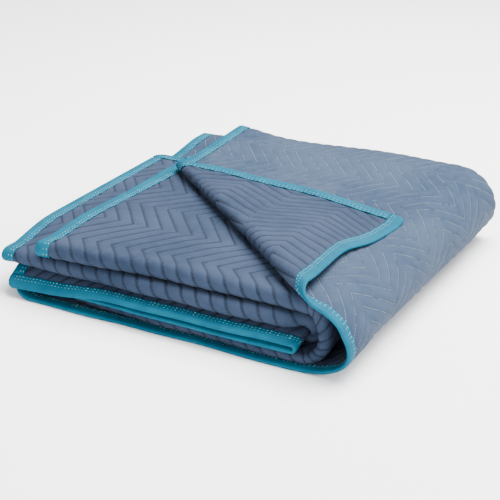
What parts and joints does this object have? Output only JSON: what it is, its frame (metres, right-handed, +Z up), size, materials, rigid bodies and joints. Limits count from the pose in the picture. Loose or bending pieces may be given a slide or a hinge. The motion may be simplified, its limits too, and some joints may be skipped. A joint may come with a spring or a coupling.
{
  "type": "moving blanket",
  "caption": "Quilted padded moving blanket with bound edges, folded into a flat pile with the near left corner of its top layer turned back.",
  "frame": {"origin": "bottom centre of the pile's bounding box", "axes": "+X along the near side towards the big rounded fold, +Y from the near side to the far side, +Z up"},
  "size_m": [0.5552, 0.5916, 0.1286],
  "materials": {
    "quilted_cloth": "matt woven cloth, padded and quilted in zigzag rows",
    "binding_tape": "matt woven tape folded over the edge and sewn down with two rows of stitches"
  },
  "bodies": {
    "root": {"quilt": "quilted_cloth", "binding_near": "binding_tape", "binding_far": "binding_tape", "binding_end_top": "binding_tape", "binding_end_inner": "binding_tape"}
  },
  "joints": []
}
